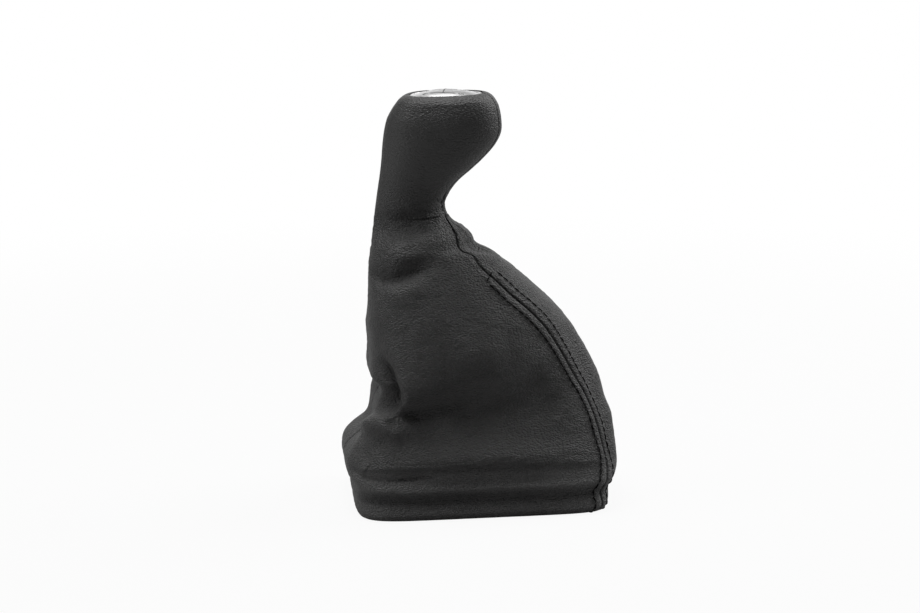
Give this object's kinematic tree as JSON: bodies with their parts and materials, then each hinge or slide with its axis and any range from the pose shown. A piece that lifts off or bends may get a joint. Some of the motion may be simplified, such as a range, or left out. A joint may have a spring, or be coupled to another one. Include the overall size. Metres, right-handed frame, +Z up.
{
  "type": "gear lever gaiter with knob",
  "caption": "Sewn leather gaiter that continues up over a gear knob, with a front gusset, a bright plate on top and a stiff frame in its hem.",
  "frame": {"origin": "on the floor, at the middle of the part's plan box, under the hem", "axes": "+Z up along the gaiter to the knob, +X to the front, where the knob overhangs, -Y the near side of the picture"},
  "size_m": [0.1616, 0.1192, 0.2415],
  "materials": {
    "leather": "grained soft black leather, low sheen",
    "thread": "black twisted sewing thread",
    "moulded_core": "dark moulded core, matt",
    "sleeve_steel": "turned steel, satin",
    "plate_metal": "satin silver field with a polished rim",
    "frame_plastic": "black moulded plastic, fine grain"
  },
  "bodies": {
    "root": {"near_side_panel": "leather", "far_side_panel": "leather", "front_gusset": "leather", "knob_core": "moulded_core", "lever_sleeve": "sleeve_steel", "shift_pattern_plate": "plate_metal", "base_frame": "frame_plastic"}
  },
  "joints": []
}
